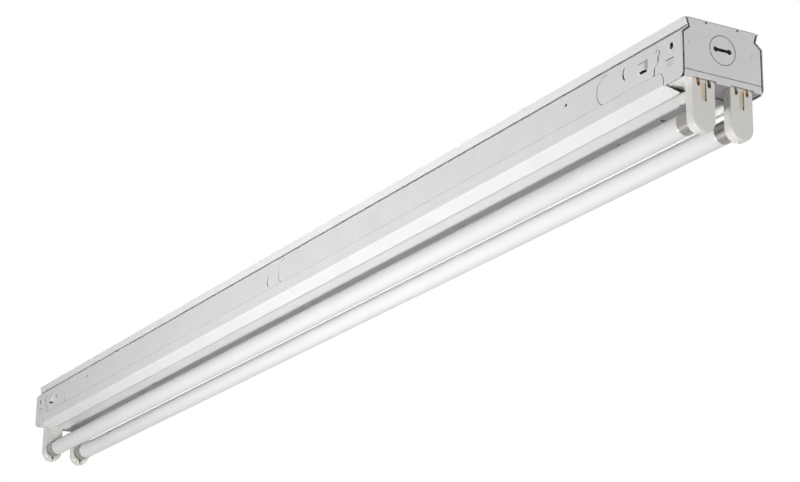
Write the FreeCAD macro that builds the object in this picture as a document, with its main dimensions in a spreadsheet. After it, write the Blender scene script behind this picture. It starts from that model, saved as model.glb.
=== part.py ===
import FreeCAD, Part
import math
import os
import Sketcher

# Two-lamp T5 strip light for a ceiling or for chains.
# A roll-formed steel channel carries the ballast, a formed cover closes it from below,
# and an end plate at each end holds two rotary lampholders that stand down from the channel.
#
# Frame: X along the lamps, Z up, origin in the middle of the channel's flat back, which
# lies on the ceiling. Everything hangs below Z = 0. Sizes are in millimetres.

SIZES = [
    # overall body
    ("body_length", 1168.4, "length over the two end plates"),
    ("sheet", 0.7, "steel sheet of the channel and the end plates"),
    ("fit_gap", 0.2, "clearance between pieces that slide together"),
    ("run_gap", 0.05, "radial clearance of a turning fit"),
    # channel section, from the back down
    ("back_half", 31.2, "half width of the flat back"),
    ("pinch_half", 29.2, "half width at the pinched shoulder"),
    ("pinch_drop", 6.7, "depth of the pinch"),
    ("wall_half", 34.3, "half width over the side walls"),
    ("shoulder_drop", 11.0, "depth where the side wall starts"),
    ("seam_drop", 33.6, "depth of the seam between channel and cover"),
    ("lip_inset", 0.9, "step of the lip that the cover snaps over"),
    ("lip_drop", 41.0, "depth of the lip's lower edge"),
    # full-depth ears at the ends of the side walls
    ("ear_length", 33.0, "length of each ear"),
    ("ear_corner", 3.0, "bevel of the ear's lower corner"),
    ("slit_width", 1.3, "width of the slit beside the ear"),
    ("oval_inset", 11.6, "end plate to the upright oval hole"),
    ("oval_drop", 18.5, "depth of the oval hole"),
    ("oval_half", 1.8, "half width of the oval hole"),
    ("oval_rise", 2.6, "half height of the oval hole"),
    ("lance_inset", 14.0, "end plate to the lanced slot"),
    ("lance_drop", 27.3, "depth of the lanced slot"),
    ("lance_half", 4.5, "half length of the lanced slot"),
    ("lance_height", 1.1, "height of the lanced slot"),
    ("hood_inset", 44.2, "end plate to the pressed hood over a cut"),
    ("hood_drop", 26.2, "depth of the hood's open mouth"),
    ("hood_half", 5.6, "half length of the hood at the wall"),
    ("hood_rise", 8.2, "height of the hood"),
    ("hood_reach", 2.2, "how far the hood stands out"),
    ("hood_taper", 2.0, "how much each side of the hood draws in"),
    ("hood_sheet", 0.5, "drawn sheet of the hood"),
    # cover section
    ("cover_sheet", 0.6, "steel sheet of the cover"),
    ("cover_gap", 0.4, "gap of the seam"),
    ("cover_end_gap", 0.9, "gap between the cover's ends and the ears"),
    ("corner_drop", 44.3, "depth of the cover's lower corner"),
    ("ridge_half", 23.2, "half width between the two outer ridges"),
    ("ridge_drop", 48.8, "depth of the outer ridges"),
    ("trough_half", 16.0, "half width between the troughs over the lamps"),
    ("trough_drop", 45.2, "depth of the troughs"),
    ("crown_drop", 43.9, "depth of the centre ridge"),
    ("cover_setback", 22.3, "distance from the end plate to the cover"),
    ("cover_round", 5.0, "radius of the cover's upper end corners"),
    ("bend_radius", 1.2, "outer radius of the cover's lower corners"),
    # knockouts and holes of the channel
    ("knockout_radius", 11.1, "half-inch conduit knockout"),
    ("score_width", 0.7, "width of a scored line"),
    ("score_depth", 0.35, "depth of a scored line"),
    ("knockout_inset", 90.0, "end plate to the outer side knockouts"),
    ("knockout_drop", 24.0, "depth of the side knockouts"),
    ("slot_arc_radius", 6.3, "radius of the short curved slots"),
    ("slot_arc_width", 1.3, "width of the short curved slots"),
    ("slot_arc_inset", 63.0, "end plate to the outer curved slots"),
    ("slot_arc_drop", 20.2, "depth of the outer curved slots"),
    ("middle_arc_offset", 26.5, "mid length to the middle curved slot"),
    ("middle_arc_drop", 26.5, "depth of the middle curved slot"),
    ("pilot_radius", 1.4, "small pilot holes in the walls"),
    ("pilot_inset", 140.0, "end plate to the pilot holes"),
    ("pilot_drop", 18.6, "depth of the pilot holes"),
    ("mount_inset", 76.2, "end plate to the screw hole in the back"),
    ("mount_radius", 3.6, "radius of the screw holes in the back"),
    ("hanger_inset", 25.4, "end plate to the middle of the chain-hook slot"),
    ("hanger_length", 12.7, "length of a chain-hook slot"),
    ("hanger_radius", 2.0, "half width of a chain-hook slot"),
    # end plate
    ("flange_drop", 43.2, "depth of the end plate's bottom flange"),
    ("flange_depth", 21.9, "reach of the bottom flange"),
    ("plate_gap", 1.3, "gap between the end plate and the side walls"),
    ("flange_hole", 0.9, "small holes in the bottom flange"),
    ("flange_hole_half", 24.0, "half distance between them"),
    ("flange_hole_inset", 13.0, "end plate to those holes"),
    ("notch_drop", 43.0, "top of the notch over each lampholder"),
    ("notch_half", 9.8, "half width of that notch"),
    ("crease_drop", 38.1, "depth of the line pressed across the end plate"),
    ("crease_half", 32.4, "half length of that line"),
    ("plate_knockout_drop", 18.9, "depth of the end plate's knockout"),
    ("pry_half", 5.8, "half distance between the ends of the pry slot"),
    ("pry_radius", 1.9, "radius of the ends of the pry slot"),
    ("pry_width", 2.5, "width of the pry slot"),
    ("dimple_half", 26.3, "half distance between the two dimples"),
    ("dimple_radius", 2.6, "radius of a dimple"),
    ("dimple_height", 0.5, "height of a dimple"),
    ("tab_half", 13.2, "half width of the top tab"),
    ("tab_depth", 11.0, "reach of the top tab"),
    ("relief_radius", 0.9, "radius of the bend reliefs"),
    # lamps
    ("lamp_half", 15.9, "half distance between the lamp axes"),
    ("lamp_drop", 68.6, "depth of the lamp axes"),
    ("lamp_inset", 9.7, "end plate to the base face of a lamp"),
    ("tube_radius", 7.95, "glass tube"),
    ("glass_wall", 0.7, "wall of the glass tube"),
    ("neck_radius", 7.4, "glass inside the cap"),
    ("neck_length", 9.0, "reach of that neck"),
    ("cap_radius", 8.05, "metal cap"),
    ("cap_wall", 0.5, "wall of the cap"),
    ("cap_length", 13.0, "length of the cap"),
    ("pin_radius", 1.175, "lamp pin"),
    ("pin_half", 2.375, "half distance between the two pins"),
    ("pin_length", 7.1, "length of a pin"),
    # lampholder
    ("holder_setback", 1.3, "end plate to the lampholder's outer face"),
    ("holder_half", 9.5, "half width of a lampholder"),
    ("holder_round_drop", 2.5, "lamp axis down to the centre of the round end"),
    ("holder_top", 24.4, "lamp axis up to the lampholder's shoulder"),
    ("foot_half", 8.0, "half width of the foot"),
    ("foot_top", 34.0, "lamp axis up to the top of the foot"),
    ("foot_inset", 0.3, "foot in from the lampholder's faces"),
    ("latch_height", 2.6, "height of the snap wedge on the foot"),
    ("latch_reach", 1.1, "reach of the snap wedge"),
    ("holder_back_wall", 1.1, "thickness of the lampholder's back"),
    ("holder_front_wall", 2.6, "thickness of the wall that holds the rotor"),
    ("chamber_half", 7.2, "half width of the contact chamber"),
    ("chamber_low", 7.0, "lamp axis down to the chamber's floor"),
    ("chamber_high", 24.0, "lamp axis up to the chamber's roof"),
    ("rotor_radius", 5.5, "rotor in the front wall"),
    ("collar_radius", 6.3, "collar that keeps the rotor in"),
    ("collar_depth", 0.8, "thickness of the collar"),
    ("pin_slot", 2.5, "width of the rotor's slot"),
    ("entry_slot", 2.9, "width of the slot that the pins enter by"),
    ("window_half", 2.15, "half width of the slot in the back"),
    ("window_low", 10.1, "lamp axis up to the lower end of that slot"),
    ("wire_half", 4.6, "half distance between the two wire entries"),
    ("wire_hole", 1.45, "half width of a wire entry"),
    ("wire_hole_low", 21.4, "lamp axis up to the lower end of a wire entry"),
    ("contact_half", 3.9, "lamp axis to the inner face of a contact"),
    ("contact_sheet", 0.4, "bronze strip of the contacts"),
    ("contact_width", 2.2, "width of a contact"),
    ("contact_low", 3.4, "lamp axis down to the end of a contact"),
    ("contact_bend", 17.6, "lamp axis up to the bend of a contact"),
    ("spring_half", 1.9, "half width of the rotor's detent spring"),
    ("spring_low", 7.2, "lamp axis up to the end of the detent spring"),
    # ballast
    ("ballast_length", 360.0, "length of the ballast's can"),
    ("ballast_half", 15.0, "half width of the ballast"),
    ("ballast_height", 20.0, "height of the can"),
    ("ballast_plate", 0.8, "thickness of the ballast's base plate"),
    ("ballast_ear", 16.0, "length of the base plate's ears"),
    ("ballast_round", 1.5, "radius of the can's edges"),
    ("connector_length", 12.0, "reach of a terminal block"),
    ("connector_half", 12.0, "half width of a terminal block"),
    ("connector_height", 9.0, "height of a terminal block"),
    ("port_radius", 1.25, "wire port of a terminal block"),
    ("port_pitch", 3.8, "distance between the wire ports"),
    ("port_depth", 6.0, "depth of a wire port"),
    ("screw_radius", 1.9, "screw shank"),
    ("screw_head", 3.5, "radius of the screw heads"),
    ("screw_head_height", 2.2, "height of the screw heads"),
    ("ground_offset", 268.0, "mid length to the ground screw"),
    # wires
    ("wire_radius", 0.95, "insulated lead"),
    ("wire_drop", 20.0, "depth at which the leads run along the channel"),
    ("nut_length", 22.0, "length of a wire nut"),
    ("nut_radius", 5.0, "radius of a wire nut's skirt"),
    ("nut_half", 6.0, "half distance between the line and neutral wire nuts"),
    ("nut_drop", 32.0, "depth of the wire nuts' axes"),
    ("nut_offset", 262.0, "mid length to the first wire nuts"),
    ("ground_nut_step", 75.0, "from those to the ground wire nut"),
]

V = FreeCAD.Vector
X_AXIS, Y_AXIS, Z_AXIS = V(1, 0, 0), V(0, 1, 0), V(0, 0, 1)
NO_TURN = FreeCAD.Rotation()
ABOUT_Z = FreeCAD.Rotation(Z_AXIS, 180)
YZ_SKETCH = FreeCAD.Rotation(Y_AXIS, Z_AXIS, X_AXIS, "ZXY")
XZ_SKETCH = FreeCAD.Rotation(X_AXIS, Z_AXIS, -Y_AXIS, "ZXY")
SIDES = (("front", -1), ("rear", 1))
ENDS = (("near", 1), ("far", -1))
OVERCUT = 1.0

LAMP_END = "(Dims.body_length / 2 - Dims.lamp_inset)"
HOLDER_FRONT = "(-Dims.lamp_inset + Dims.fit_gap)"
HOLDER_OUT = "(-Dims.holder_setback)"
BACK_IN = "(-Dims.holder_setback - Dims.holder_back_wall)"
WIRE_X = f"({BACK_IN} - Dims.wire_radius - Dims.fit_gap / 2)"
CHAMBER_IN = f"({HOLDER_FRONT} + Dims.holder_front_wall)"
LOWER_END = "(Dims.holder_round_drop + Dims.holder_half)"
BALLAST_SCREW_X = "(Dims.ballast_length / 2 + Dims.ballast_ear / 2)"
GROUND_X = "Dims.ground_offset"
GROUND_Y = "-8"

doc = FreeCAD.newDocument("StripLight")
dims = doc.addObject("Spreadsheet::Sheet", "Dims")
for row, (name, value, note) in enumerate(SIZES, start=1):
    dims.set(f"A{row}", note)
    dims.set(f"B{row}", str(value))
    dims.setAlias(f"B{row}", name)
doc.recompute()
nodes = []


def value(expression):
    """The number that an expression of the sheet stands for."""
    return float(dims.evalExpression(str(expression)))


def size(name):
    return float(dims.get(name))


def node(thing, label):
    """Marks a finished sub-part and names its file."""
    thing.Label = label
    nodes.append(thing)
    return thing


def bind(thing, **expressions):
    for name, expression in expressions.items():
        thing.setExpression(name, str(expression))
    return thing


def move(thing, x=0, y=0, z=0, turn=NO_TURN):
    """Places a thing, with its three coordinates bound to the sheet."""
    thing.Placement = FreeCAD.Placement(V(value(x), value(y), value(z)), turn)
    for axis, expression in zip("xyz", (x, y, z)):
        thing.setExpression(f"Placement.Base.{axis}", str(expression))
    return thing


# --- sketches -----------------------------------------------------------------------


def new_sketch(name, body=None, plane="XY_Plane", offset=None, turn=NO_TURN):
    """A sketch on a plane of its own body, or a free one in the plane that turn gives."""
    if body is None:
        free = doc.addObject("Sketcher::SketchObject", name)
        free.Placement = FreeCAD.Placement(V(), turn)
        return free
    sketch = body.newObject("Sketcher::SketchObject", name)
    base = next(f for f in body.Origin.OriginFeatures if f.Role == plane)
    sketch.AttachmentSupport = [(base, "")]
    sketch.MapMode = "FlatFace"
    if offset is not None:
        sketch.setExpression("AttachmentOffset.Base.z", str(offset))
    return sketch


def fix_point(sketch, geometry, end, x, y):
    """Holds a point of the sketch at two expressions, measured from the origin."""
    for kind, expression in (("DistanceX", x), ("DistanceY", y)):
        wanted = value(expression)
        index = sketch.addConstraint(
            Sketcher.Constraint(kind, -1, 1, geometry, end, wanted))
        sketch.setExpression(f"Constraints[{index}]", str(expression))


def add_polygon(sketch, corners, closed=True):
    """Straight lines through corners, each a pair of expressions."""
    places = [V(value(x), value(y), 0) for x, y in corners]
    first = sketch.GeometryCount
    count = len(corners) if closed else len(corners) - 1
    for i in range(count):
        end = places[(i + 1) % len(places)]
        sketch.addGeometry(Part.LineSegment(places[i], end))
    for i in range(count - 1):
        sketch.addConstraint(
            Sketcher.Constraint("Coincident", first + i, 2, first + i + 1, 1))
    if closed:
        sketch.addConstraint(
            Sketcher.Constraint("Coincident", first + count - 1, 2, first, 1))
    for i, (x, y) in enumerate(corners):
        if i < count:
            fix_point(sketch, first + i, 1, x, y)
        else:
            fix_point(sketch, first + i - 1, 2, x, y)
    return sketch


def add_circle(sketch, x, y, radius):
    place = V(value(x), value(y), 0)
    index = sketch.addGeometry(Part.Circle(place, Z_AXIS, value(radius)))
    fix_point(sketch, index, 3, x, y)
    hold = sketch.addConstraint(Sketcher.Constraint("Radius", index, value(radius)))
    sketch.setExpression(f"Constraints[{hold}]", str(radius))
    return sketch


def box_corners(x0, x1, y0, y1):
    return [(x0, y0), (x1, y0), (x1, y1), (x0, y1)]


def mirrored(half):
    """A section from its left half, given from the outside in to the middle."""
    return half + [(f"-({x})", y) for x, y in reversed(half) if str(x) != "0"]


# --- PartDesign features ----------------------------------------------------------------


def new_body(label):
    return node(doc.addObject("PartDesign::Body", label), label)


def pad(body, sketch, length, down=False, both=False):
    feature = body.newObject("PartDesign::Pad", sketch.Name + "Pad")
    feature.Profile = sketch
    feature.Reversed = down
    feature.Midplane = both
    bind(feature, Length=length)
    doc.recompute()
    return feature


def pocket(body, sketch, length, up=False, both=False):
    """Cuts the sketch's shape out of the body; it always has to remove something."""
    before = body.Shape.Volume
    feature = body.newObject("PartDesign::Pocket", sketch.Name + "Pocket")
    feature.Profile = sketch
    feature.Reversed = up
    feature.Midplane = both
    bind(feature, Length=length)
    doc.recompute()
    if not body.Shape.Volume < before:
        raise RuntimeError(f"{feature.Name} cuts nothing")
    return feature


def round_edges(body, radius, chosen):
    """Rounds the edges of the body's last feature for which chosen(edge) is true."""
    doc.recompute()
    base = body.Tip
    names = [f"Edge{i}" for i, edge in enumerate(base.Shape.Edges, start=1) if chosen(edge)]
    if not names:
        raise RuntimeError(f"no edge to round on {body.Label}")
    feature = body.newObject("PartDesign::Fillet", body.Name + "Fillet")
    feature.Base = (base, names)
    bind(feature, Radius=radius)
    doc.recompute()
    return feature


def bevel_edges(body, width, chosen):
    """A chamfer instead, for hidden or tiny edges."""
    doc.recompute()
    base = body.Tip
    names = [f"Edge{i}" for i, edge in enumerate(base.Shape.Edges, start=1) if chosen(edge)]
    if not names:
        raise RuntimeError(f"no edge to bevel on {body.Label}")
    feature = body.newObject("PartDesign::Chamfer", body.Name + "Chamfer")
    feature.Base = (base, names)
    bind(feature, Size=width)
    doc.recompute()
    return feature


def is_near(a, b, slack=0.01):
    return abs(a - b) < slack


def straight_along(edge, axis):
    if edge.Curve.TypeId != "Part::GeomLine":
        return False
    return abs(edge.Curve.Direction.dot(axis)) > 0.999


# --- free primitives for the roll-formed pieces -------------------------------------------


def solid_box(name, x0, x1, y0, y1, z0, z1):
    box = doc.addObject("Part::Box", name)
    bind(box, Length=f"({x1}) - ({x0})", Width=f"({y1}) - ({y0})", Height=f"({z1}) - ({z0})")
    return move(box, x0, y0, z0)


def solid_cylinder(name, x, y, z, radius, height, turn=NO_TURN, angle=360):
    cylinder = doc.addObject("Part::Cylinder", name)
    cylinder.Angle = angle
    bind(cylinder, Radius=radius, Height=height)
    return move(cylinder, x, y, z, turn)


def cut(name, base, tool):
    result = doc.addObject("Part::Cut", name)
    result.Base = base
    result.Tool = tool
    return result


def fuse(name, shapes):
    result = doc.addObject("Part::MultiFuse", name)
    result.Shapes = shapes
    return result


def extrude(name, profile, direction, length, both=False):
    result = doc.addObject("Part::Extrusion", name)
    result.Base = profile
    result.DirMode = "Custom"
    result.Dir = direction
    result.Solid = True
    result.Symmetric = both
    bind(result, LengthFwd=length)
    return result


def bent_sheet(name, line, thickness, length):
    """A roll-formed section: the outer line, thickened inwards and drawn along X."""
    sketch = add_polygon(new_sketch(name + "Line", turn=YZ_SKETCH), line, closed=False)
    strip = doc.addObject("Part::Offset2D", name + "Strip")
    strip.Source = sketch
    strip.Mode = "Skin"
    strip.Join = "Intersection"
    strip.Fill = True
    bind(strip, Value=thickness)
    return extrude(name, strip, X_AXIS, length, both=True)


def along_y(name, corners, length):
    """A prism through both side walls, from a polygon in the XZ plane."""
    sketch = add_polygon(new_sketch(name + "Shape", turn=XZ_SKETCH), corners)
    return extrude(name, sketch, Y_AXIS, length, both=True)


# --- channel ----------------------------------------------------------------------------


def channel_section(lower):
    """The channel's outer line: lower ends of the walls, shoulder, pinch and back."""
    half = lower + [
        ("-Dims.wall_half", "-Dims.shoulder_drop"),
        ("-Dims.pinch_half", "-Dims.pinch_drop"),
        ("-Dims.back_half", "0"),
    ]
    return mirrored(half)


def ear_tools(end, sign):
    """Cuts that shape the ear at one end of both side walls."""
    edge = f"{sign} * Dims.body_length / 2"

    def inwards(distance):
        return f"{edge} - {sign} * ({distance})"

    through = "2 * Dims.wall_half + 10"
    tools = []
    # room for the cover's end, with its rounded upper corner
    start = "Dims.cover_setback - Dims.cover_end_gap"
    low = f"-Dims.corner_drop - {OVERCUT}"
    high = "-Dims.seam_drop"
    reach = "Dims.cover_round"
    corner = [
        (inwards(start), low),
        (inwards(start), f"{high} - {reach}"),
        (inwards(f"{start} + 0.3 * {reach}"), f"{high} - 0.3 * {reach}"),
        (inwards(f"{start} + {reach}"), high),
        (inwards("Dims.ear_length"), high),
        (inwards("Dims.ear_length"), low),
    ]
    tools.append(along_y(f"CoverRoom_{end}", corner, through))
    # wavy slit that frees the ear from the rest of the wall
    width = "Dims.slit_width"
    wave = [
        ("Dims.ear_length", "-Dims.seam_drop - 0.1"),
        ("Dims.ear_length - 0.9", "-Dims.seam_drop + 5.4"),
        ("Dims.ear_length - 5.3", "-Dims.seam_drop + 8.4"),
        ("Dims.ear_length - 5.2", "-Dims.seam_drop + 12.6"),
        ("Dims.ear_length - 7.2", "-Dims.seam_drop + 14.6"),
        ("Dims.ear_length - 7.2", "-Dims.seam_drop + 16.4"),
    ]
    ear_side = [(inwards(f"{x} - {width}"), z) for x, z in wave]
    wall_side = [(inwards(x), z) for x, z in reversed(wave)]
    tools.append(along_y(f"Slit_{end}", ear_side + wall_side, through))
    hook = [
        (inwards("Dims.ear_length - 6.6"), "-Dims.seam_drop + 18.6"),
        (inwards("Dims.ear_length - 5.2"), "-Dims.seam_drop + 18.6"),
        (inwards("Dims.ear_length - 2.4"), "-Dims.seam_drop + 16"),
        (inwards("Dims.ear_length - 3.8"), "-Dims.seam_drop + 16"),
    ]
    tools.append(along_y(f"Hook_{end}", hook, through))
    # bevel of the ear's lower outer corner
    bevel = [
        (inwards(f"-{OVERCUT}"), low),
        (inwards("Dims.ear_corner"), low),
        (inwards("Dims.ear_corner"), "-Dims.corner_drop"),
        (inwards("0"), "-Dims.corner_drop + Dims.ear_corner"),
        (inwards(f"-{OVERCUT}"), "-Dims.corner_drop + Dims.ear_corner"),
    ]
    tools.append(along_y(f"Bevel_{end}", bevel, through))
    # upright oval hole and lanced slot
    middle, drop = "Dims.oval_inset", "-Dims.oval_drop"
    half, rise = "Dims.oval_half", "Dims.oval_rise"
    oval = []
    for across, up in ((-1, 0.5), (-0.5, 1), (0.5, 1), (1, 0.5),
                       (1, -0.5), (0.5, -1), (-0.5, -1), (-1, -0.5)):
        oval.append((inwards(f"{middle} + {across} * {half}"), f"{drop} + {up} * {rise}"))
    tools.append(along_y(f"Oval_{end}", oval, through))
    tools.append(along_y(f"Lance_{end}", box_corners(
        inwards("Dims.lance_inset - Dims.lance_half"),
        inwards("Dims.lance_inset + Dims.lance_half"),
        "-Dims.lance_drop - Dims.lance_height / 2",
        "-Dims.lance_drop + Dims.lance_height / 2"), through))
    # the plate's top edge comes up flush with the back
    rim = "Dims.back_half - Dims.sheet"
    back_end = (inwards("Dims.sheet + 0.05"), inwards(f"-{OVERCUT}"))
    low_x, high_x = sorted(back_end, key=value)
    tools.append(solid_box(f"BackEnd_{end}", low_x, high_x, f"-({rim})", rim,
                           "-Dims.sheet - 0.2", OVERCUT))
    return tools


def hood(end, sign, side, way):
    """A pressed hood on a wall, open at the bottom: the solid, and what hollows it."""
    middle = f"({sign} * (Dims.body_length / 2 - Dims.hood_inset))"
    taper = "Dims.hood_taper"
    made = []
    for part, skin in (("Outer", "0"), ("Inner", "Dims.hood_sheet")):
        outside = f"(Dims.wall_half + Dims.hood_reach - {skin})"
        inside = "(Dims.wall_half - Dims.sheet / 2)" if part == "Outer" else (
            "(Dims.wall_half - 2 * Dims.sheet)")
        low = "-Dims.hood_drop" if part == "Outer" else "-Dims.hood_drop - Dims.lance_height"
        half = f"(Dims.hood_half - {skin})"
        top = f"-Dims.hood_drop + Dims.hood_rise - {skin}"
        base = (f"{middle} - {half}", f"{middle} + {half}", low, top)
        crown = (f"{middle} - {half} + {taper}", f"{middle} + {half} - {taper}",
                 low, f"{top} - 1.5 * {taper}")
        first, last = (crown, base) if way < 0 else (base, crown)
        y_low, y_high = (f"-{outside}", f"-{inside}") if way < 0 else (inside, outside)
        wedge = doc.addObject("Part::Wedge", f"Hood{part}_{side}_{end}")
        made.append(bind(wedge, Ymin=y_low, Ymax=y_high,
                         Xmin=first[0], Xmax=first[1], Zmin=first[2], Zmax=first[3],
                         X2min=last[0], X2max=last[1], Z2min=last[2], Z2max=last[3]))
    return made


def score(name, x, z, side):
    """A scored half circle in the outer face of one side wall."""
    turn = FreeCAD.Rotation(X_AXIS, -90)
    y = "-Dims.wall_half - 1" if side < 0 else "Dims.wall_half - Dims.score_depth"
    height = "1 + Dims.score_depth"
    ring = [solid_cylinder(f"{name}{part}", x, y, z, radius, height, turn)
            for part, radius in (("Outer", "Dims.knockout_radius"),
                                 ("Inner", "Dims.knockout_radius - Dims.score_width"))]
    whole = cut(name + "Ring", *ring)
    keep = solid_box(name + "Clear", f"{x} + 2", f"{x} + 20", f"({y}) - 1",
                     f"({y}) + 3", f"{z} - 20", f"{z} + 20")
    return cut(name, whole, keep)


def curved_slot(name, x, z):
    """A short curved slot through both side walls."""
    turn = FreeCAD.Rotation(X_AXIS, -90)
    y = "-Dims.wall_half - 5"
    height = "2 * Dims.wall_half + 10"
    outer = solid_cylinder(name + "Outer", x, y, z, "Dims.slot_arc_radius", height, turn)
    inner = solid_cylinder(name + "Inner", x, y, z,
                           "Dims.slot_arc_radius - Dims.slot_arc_width", height, turn)
    keep = solid_box(name + "Clear", f"{x} - Dims.slot_arc_radius * 0.55", f"{x} + 20",
                     f"({y}) - 1", f"({y}) + {height} + 1", f"{z} - 20", f"{z} + 20")
    return cut(name, cut(name + "Ring", outer, inner), keep)


def back_holes():
    """Holes in the back: screws, chain hooks, ballast and ground screws, knockouts."""
    tools = []
    low, height = "-Dims.sheet - 1", "Dims.sheet + 2"
    for end, sign in ENDS:
        hole = f"{sign} * (Dims.body_length / 2 - Dims.mount_inset)"
        tools.append(solid_cylinder(f"MountHole_{end}", hole, 0, low,
                                    "Dims.mount_radius", height))
        middle = f"{sign} * (Dims.body_length / 2 - Dims.hanger_inset)"
        half = "(Dims.hanger_length / 2 - Dims.hanger_radius)"
        tools.append(solid_box(f"HangerSlot_{end}", f"{middle} - {half}", f"{middle} + {half}",
                               "-Dims.hanger_radius", "Dims.hanger_radius", low, "1"))
        for tip in (-1, 1):
            tools.append(solid_cylinder(f"HangerTip_{end}", f"{middle} + {tip} * {half}",
                                        0, low, "Dims.hanger_radius", height))
        tools.append(solid_cylinder(f"BallastHole_{end}", f"{sign} * {BALLAST_SCREW_X}", 0,
                                    low, "Dims.screw_radius + Dims.run_gap", height))
    tools.append(solid_cylinder("GroundHole", GROUND_X, GROUND_Y, low,
                                "Dims.screw_radius + Dims.run_gap", height))
    for place in (-0.25, 0, 0.25):
        x = f"{place} * Dims.body_length"
        ring = [solid_cylinder(f"BackScore{part}", x, 0, "-Dims.score_depth", radius,
                               "1 + Dims.score_depth")
                for part, radius in (("Outer", "Dims.knockout_radius"),
                                     ("Inner", "Dims.knockout_radius - Dims.score_width"))]
        tools.append(cut("BackScore", *ring))
    return tools


def make_channel():
    seam = [
        ("-(Dims.wall_half - Dims.lip_inset)", "-Dims.lip_drop"),
        ("-(Dims.wall_half - Dims.lip_inset)", "-Dims.seam_drop"),
        ("-Dims.wall_half", "-Dims.seam_drop"),
    ]
    full = [("-Dims.wall_half", "-Dims.corner_drop")]
    middle = bent_sheet("ChannelMiddle", channel_section(seam), "Dims.sheet",
                        "Dims.body_length - 2 * Dims.ear_length")
    pieces = [middle]
    for end, sign in ENDS:
        ear = bent_sheet(f"ChannelEar_{end}", channel_section(full), "Dims.sheet",
                         "Dims.ear_length")
        move(ear, f"{sign} * (Dims.body_length - Dims.ear_length) / 2")
        pieces.append(ear)
    tools = back_holes()
    for end, sign in ENDS:
        for side, way in SIDES:
            solid, hollow = hood(end, sign, side, way)
            pieces.append(solid)
            tools.append(hollow)
    for end, sign in ENDS:
        tools += ear_tools(end, sign)
        tools.append(curved_slot(f"CurvedSlot_{end}",
                                 f"{sign} * (Dims.body_length / 2 - Dims.slot_arc_inset)",
                                 "-Dims.slot_arc_drop"))
        tools.append(solid_cylinder(f"Pilot_{end}",
                                    f"{sign} * (Dims.body_length / 2 - Dims.pilot_inset)",
                                    "-Dims.wall_half - 5", "-Dims.pilot_drop",
                                    "Dims.pilot_radius", "2 * Dims.wall_half + 10",
                                    FreeCAD.Rotation(X_AXIS, -90)))
        for side, way in SIDES:
            tools.append(score(f"Score_{side}_{end}",
                               f"{sign} * (Dims.body_length / 2 - Dims.knockout_inset)",
                               "-Dims.knockout_drop", way))
    tools.append(curved_slot("CurvedSlot_middle", "-Dims.middle_arc_offset",
                             "-Dims.middle_arc_drop"))
    for side, way in SIDES:
        tools.append(score(f"Score_{side}_middle", "0", "-Dims.knockout_drop", way))
    node(cut("Channel", fuse("ChannelSheet", pieces), fuse("ChannelTools", tools)), "channel")


# --- cover ------------------------------------------------------------------------------


def make_cover():
    half = [
        ("-Dims.wall_half", "-Dims.seam_drop - Dims.cover_gap"),
        ("-Dims.wall_half", "-Dims.corner_drop"),
        ("-Dims.ridge_half", "-Dims.ridge_drop"),
        ("-Dims.trough_half", "-Dims.trough_drop"),
        ("0", "-Dims.crown_drop"),
    ]
    length = "Dims.body_length - 2 * Dims.cover_setback"
    sheet = bent_sheet("CoverSheet", mirrored(half), "-Dims.cover_sheet", length)
    doc.recompute()
    corner = size("corner_drop")
    wall = size("wall_half")
    top = size("seam_drop") + size("cover_gap")
    edges = []
    for index, edge in enumerate(sheet.Shape.Edges, start=1):
        middle = edge.CenterOfMass
        if straight_along(edge, X_AXIS) and is_near(abs(middle.y), wall):
            if is_near(middle.z, -corner):
                edges.append((index, size("bend_radius"), size("bend_radius")))
        if straight_along(edge, Y_AXIS) and is_near(middle.z, -top):
            edges.append((index, size("cover_round"), size("cover_round")))
    rounded = doc.addObject("Part::Fillet", "CoverRounded")
    rounded.Base = sheet
    rounded.Edges = edges
    end = "Dims.body_length / 2"
    holes = []
    for index, (inset, y, radius) in enumerate(((76, 4.5, 1.9), (46, -2, 1.3), (131, 5, 1.3))):
        holes.append(solid_cylinder(f"CoverHole{index}", f"{end} - {inset}", y,
                                    "-Dims.ridge_drop", radius, "Dims.ridge_drop / 2"))
    node(cut("Cover", rounded, fuse("CoverTools", holes)), "channel_cover")


# --- end plates -------------------------------------------------------------------------


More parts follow.
